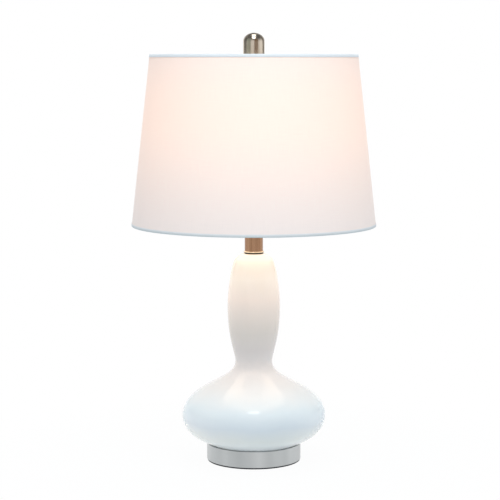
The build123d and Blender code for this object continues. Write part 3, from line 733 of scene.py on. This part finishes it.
# %% [markdown]
# ## The stud
# The stud is turned from bar: a head under the harp's bow, a shank through it, a flange that carries the
# shade's washer, a boss and the thread. Five cylinders could stand for it, but one outline taken round the
# axis keeps it a single closed piece.

# %% The stud's thread
stud_low, stud_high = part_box("harp_stud")
washer_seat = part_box("spider_washer")[0].z
stud_pitch = inch / 27
stud_thread_depth = 0.5 * mm
stud_run_out = 0.5 * mm
chamfer = 0.6 * mm
foot_radius = 4.2 * mm
head_radius = 4.8 * mm
head_high = stud_low.z + 1.8 * mm
shank_radius = 3.0 * mm
flange_radius = radius_at("harp_stud", washer_seat)
flange_low = washer_seat - 2.2 * mm
boss_radius = 5.45 * mm
crest_radius = 3.1 * mm
thread_low = washer_seat + 1.2 * mm
thread_high = stud_high.z - chamfer
thread_rows = 88

stud_rows = [
    (foot_radius, stud_low.z), (head_radius, stud_low.z + chamfer), (head_radius, head_high),
    (shank_radius, head_high), (shank_radius, flange_low),
    (flange_radius, flange_low), (flange_radius, washer_seat),
    (boss_radius, washer_seat), (boss_radius, thread_low),
]
for row in range(thread_rows + 1):
    stud_rows.append((crest_radius, thread_low + row / thread_rows * (thread_high - thread_low)))
stud_rows.append((crest_radius - chamfer, stud_high.z))


def stud_point(across, up):
    radius, height = stud_rows[round(up * (len(stud_rows) - 1))]
    dip = thread_dip(across, height, stud_pitch, stud_thread_depth, thread_low, thread_high, stud_run_out)
    return round_the_axis(full_turn * across, radius - dip, height)


stud = wrapped_sheet("threaded_stud", columns=48, rows=len(stud_rows) - 1, point=stud_point,
                     closed=True, first_cap=True, last_cap=True)
stand_in(stud, "harp_stud", finishes["nickel_wire"], "shade")
print("stud thread:", stud.name, "with a pitch of", round(stud_pitch / mm, 2), "mm")

# %% [markdown]
# ## Felt under the base
# The pad that keeps the plinth from scratching the table is die-cut felt. Its edge is never quite smooth,
# because fibres stand out of the cut. A cylinder would have a clean edge, so the pad is a disc of rings
# whose rim waves a little, by three waves that don't keep step.

# %% Felt pad
pad_low, pad_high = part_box("base_pad")
pad_radius = pad_high.x
pad_thickness = pad_high.z - pad_low.z
fuzz_height = 0.10 * mm
rim_inset = 0.12 * mm
middle_radius = 0.05 * mm


def felt_point(across, up):
    angle = full_turn * across
    waves = (math.sin(angle * 97) + math.sin(angle * 61 + 1.3) + math.sin(angle * 151 + 0.4)) / 3
    radius = max(pad_radius * up + fuzz_height * waves * up ** 6 - rim_inset * up, middle_radius)
    return round_the_axis(angle, radius, pad_low.z)


felt_pad = wrapped_sheet("felt_pad", columns=360, rows=24, point=felt_point, closed=True, first_cap=True)
thicken(felt_pad, pad_thickness, -1)
stand_in(felt_pad, "base_pad", finishes["felt"], "stand")
print("felt:", round(2 * pad_radius / mm), "mm across")

# %% [markdown]
# ## Floor
# The lamp stands on plain white paper in a studio. A matt plane alone would end in a grey horizon. So the
# floor takes the lamp's soft shadow near the base, and further out it turns to pure white for the camera and
# for mirrors. Seen from below it is clear.

# %% Floor
floor_size = 9.0
floor_drop = 0.02 * mm
shadow_reach = 0.10
shadow_fade = 0.35
near_white = 0.965

half = floor_size / 2
floor_mesh = bpy.data.meshes.new("floor")
floor_corners = [(-half, -half, 0), (half, -half, 0), (half, half, 0), (-half, half, 0)]
floor_mesh.from_pydata(floor_corners, [], [(0, 1, 2, 3)])
floor = bpy.data.objects.new("floor", floor_mesh)
floor.location.z = -floor_drop
scene.collection.objects.link(floor)

paper = Finish("white_floor", roughness=0.8, base_color=(0.62, 0.73, 0.80, 1))
floor_x, floor_y = paper.split(paper.place())[:2]
far_off = (((floor_x * floor_x + floor_y * floor_y) ** 0.5 - shadow_reach) / shadow_fade).clamped()
camera_ray, glossy_ray, transmission_ray = [
    paper.node("ShaderNodeLightPath", output=word)
    for word in ("Is Camera Ray", "Is Glossy Ray", "Is Transmission Ray")]
looked_at = (camera_ray + glossy_ray + transmission_ray).clamped()
white_share = looked_at * (near_white + (1 - near_white) * far_off)
matt = Value(paper.tree, paper.shader.outputs[0])
white = paper.node("ShaderNodeEmission", {}, {"Color": (1, 1, 1, 1), "Strength": 1.0})
clear = paper.node("ShaderNodeBsdfTransparent")
top_side = paper.node("ShaderNodeMixShader", {}, {0: white_share, 1: matt, 2: white})
under_side = paper.node("ShaderNodeNewGeometry", output="Backfacing")
both_sides = paper.node("ShaderNodeMixShader", {}, {0: under_side, 1: top_side, 2: clear})
plug(paper.tree, paper.tree.nodes["Material Output"].inputs["Surface"], both_sides)
floor_mesh.materials.append(paper.material)
print("floor:", floor_size, "m square")

# %% [markdown]
# ## The room
# The room is white to the eye. As a light it is a little cool, stronger overhead, like a room with lamps on
# its ceiling, and stronger behind, like a lit backdrop. In mirrors it is dark overhead, so that the tops of
# the metal pieces keep their shape. Walls and a ceiling could do this, but one world shader that knows which
# ray is asking does it with less noise.

# %% World
horizon_light = 0.40
zenith_light = 1.0
backdrop_light = 0.35
room_colour = (0.965, 0.98, 1.0, 1)
mirror_fade_from = -0.02
mirror_fade_span = 0.75
mirror_fade = 0.88

world = bpy.data.worlds.new("white_room")
world.use_nodes = True
scene.world = world
room = NodeTree(world.node_tree)
camera_ray, glossy_ray, transmission_ray = [
    room.node("ShaderNodeLightPath", output=word)
    for word in ("Is Camera Ray", "Is Glossy Ray", "Is Transmission Ray")]
eye = (camera_ray + transmission_ray).clamped()
mirror = glossy_ray
sky_behind, sky_height = room.split(room.node("ShaderNodeTexCoord", output="Generated"))[1:]
room_light = (horizon_light + (zenith_light - horizon_light) * sky_height.clamped()
              + backdrop_light * sky_behind.clamped())
overhead = ((sky_height - mirror_fade_from) / mirror_fade_span).clamped()
mirror_level = 1 - mirror_fade * overhead
background = room.tree.nodes["Background"]
plug(room.tree, background.inputs["Color"],
     room.mixed((eye + mirror).clamped(), room_colour, (1, 1, 1, 1)))
plug(room.tree, background.inputs["Strength"],
     room_light + (1 - room_light) * eye + mirror * (mirror_level - room_light))
print("world: white to look at, light level", horizon_light, "to", zenith_light)

# %% [markdown]
# ## Studio light
# The lamp is lit like any product in a studio. A small soft box overhead leaves the square highlight on the
# glass. A wide one above the camera fills the front and doesn't show in mirrors. A strip, flagged so that it
# reaches the finial only, draws the bright line down its dome. One big light could do for all, but then no
# piece could be shaped by itself.

# %% Studio light
lamp_middle = (cad_box[0] + cad_box[1]) / 2


def hung(data, place):
    """An object in the scene for a light's data."""
    light = bpy.data.objects.new(data.name, data)
    light.location = place
    scene.collection.objects.link(light)
    return light


def soft_box(name, place, size, power, colour, target=lamp_middle):
    """A rectangular light that looks at a point."""
    data = bpy.data.lights.new(name, "AREA")
    data.shape = "RECTANGLE"
    data.size, data.size_y = size
    data.energy = power
    data.color = colour
    light = hung(data, place)
    light.rotation_euler = (target - light.location).to_track_quat("-Z", "Y").to_euler()
    return light


def flagged_for(name, receivers):
    """The only pieces that a flagged light reaches."""
    flag = bpy.data.collections.new(name)
    for receiver in receivers:
        flag.objects.link(receiver)
    return flag


key_box = soft_box("key_box", (0.0, -0.62, 1.55), (0.4, 0.5), 5.0, (0.95, 0.98, 1.0))
front_box = soft_box("front_box", (0.45, -1.9, 1.95), (1.6, 1.2), 9.6, (1.0, 0.97, 0.94))
front_box.visible_glossy = False
finial_strip = soft_box("finial_strip", (0.0, 0.06, 1.6), (0.38, 0.90), 3.4, (1.0, 1.0, 1.0))
finial_flag = flagged_for("flagged_for_finial", [nodes["finial"]])
finial_strip.light_linking.receiver_collection = finial_flag
print("studio light:", key_box.name, front_box.name, "and", finial_strip.name)

# %% [markdown]
# ## Edge light for the glass
# On a white table in front of a lit backdrop, the sides of white glass are lighter and warmer than its
# front. A bigger, brighter floor could give that, but it would wash out the metal too. So two weak strips
# beside the lamp and four low ones, which look at the belly's foot in a narrow cone, are flagged for the
# glass.

# %% Edge light for the glass
belly_foot = Vector((0.0, 0.0, 0.035))
edge_size = (0.10, 0.30)
low_size = (0.30, 0.04)
low_spread = 24
edge_colour = (1.0, 0.94, 0.88)
warm_colour = (1.0, 0.74, 0.58)

edge_strips = [
    soft_box("left_edge_strip", (-0.45, 0.17, 0.12), edge_size, 0.33, edge_colour),
    soft_box("right_edge_strip", (0.45, 0.17, 0.12), edge_size, 0.20, edge_colour),
]
low_strips = [
    soft_box("left_low_strip", (-0.40, 0.18, 0.03), low_size, 0.006, edge_colour, belly_foot),
    soft_box("right_low_strip", (0.40, 0.18, 0.03), low_size, 0.009, edge_colour, belly_foot),
    soft_box("left_front_strip", (-0.42, -0.12, 0.03), low_size, 0.018, warm_colour, belly_foot),
    soft_box("right_front_strip", (0.42, -0.12, 0.03), low_size, 0.011, warm_colour, belly_foot),
]
glass_flag = flagged_for("flagged_for_glass", [nodes["glass_body"]])
for strip in edge_strips + low_strips:
    strip.visible_glossy = False
    strip.light_linking.receiver_collection = glass_flag
for strip in low_strips:
    strip.data.spread = math.radians(low_spread)
print("edge light:", [strip.name for strip in edge_strips + low_strips])

# %% [markdown]
# ## The bulb's light
# The bulb is a warm light inside its frosted glass. The glass could be the light itself, but a point light
# leaves less noise. The glass then throws no shadow, and the light rides with it.

# %% The bulb's light
bulb_data = bpy.data.lights.new("bulb_light", "POINT")
bulb_data.energy = 0.24
bulb_data.color = (1.0, 0.80, 0.58)
bulb_data.shadow_soft_size = bulb_radius * 0.8
bulb_light = hung(bulb_data, bulb_centre)
bulb_light.parent = frame["bodies"]["bulb_lift"]
nodes["bulb_envelope"].visible_shadow = False
print("bulb light:", bulb_data.energy, "W at", round(bulb_centre[2], 3), "m")

# %% [markdown]
# ## The light that falls out of the shade
# The inside of the shade throws warm light down on what stands below it. Bounces could do that, but they
# would need many samples. So a disc in the shade's opening shines down instead. It reaches the glass, the
# ring, the plinth and the floor, and it shows in their gloss, as the bright opening does on a real lamp. The
# neck stands too close under the disc, which would light it in two tones, so it is left out.

# %% The light that falls out of the shade
spill_data = bpy.data.lights.new("shade_spill", "AREA")
spill_data.shape = "DISK"
spill_data.size = 1.9 * bottom_radius
spill_data.energy = 0.38
spill_data.color = (1.0, 0.77, 0.56)
shade_spill = hung(spill_data, (0.0, 0.0, cloth_low.z + 4 * mm))
spill_flag = flagged_for("flagged_for_spill",
                         [nodes["glass_body"], nodes["neck_ring"], nodes["base_plinth"], floor])
shade_spill.light_linking.receiver_collection = spill_flag
print("shade spill:", spill_data.energy, "W, downwards from", round(shade_spill.location.z, 3), "m")

# %% [markdown]
# ## Cards for the mirrors
# Polished metal looks like what stands round it. A photographer's room has dark and coloured things in it,
# and they give the finial its bands. A whole room could be built, but four curved cards, seen by mirrors
# only, are enough. They are tall, so that the bands run up into the finial's dome.

# %% Cards for the mirrors
card_radius = 3.2
card_low = 0.35
card_high = 3.00
card_step = 3


def mirror_card(name, first, last, colour):
    """A curved card between two bearings, in degrees to the right of the camera, seen by mirrors only."""
    points = []
    for bearing in range(first, last + 1, card_step):
        x = card_radius * math.sin(math.radians(bearing))
        y = -card_radius * math.cos(math.radians(bearing))
        points += [(x, y, card_low), (x, y, card_high)]
    quads = [(i, i + 2, i + 3, i + 1) for i in range(0, len(points) - 2, 2)]
    mesh = bpy.data.meshes.new(name)
    mesh.from_pydata(points, [], quads)
    mesh.materials.append(Finish(name, base_color=colour, roughness=0.9).material)
    card = bpy.data.objects.new(name, mesh)
    scene.collection.objects.link(card)
    for sight in ("visible_camera", "visible_diffuse", "visible_transmission", "visible_shadow"):
        setattr(card, sight, False)
    return card


cards = [
    mirror_card("brown_card", 3, 48, (0.30, 0.19, 0.12, 1)),
    mirror_card("grey_card", -81, -33, (0.42, 0.45, 0.38, 1)),
    mirror_card("left_card", -132, -84, (0.20, 0.20, 0.18, 1)),
    mirror_card("right_card", 108, 138, (0.24, 0.21, 0.18, 1)),
]
print("mirror cards:", len(cards))
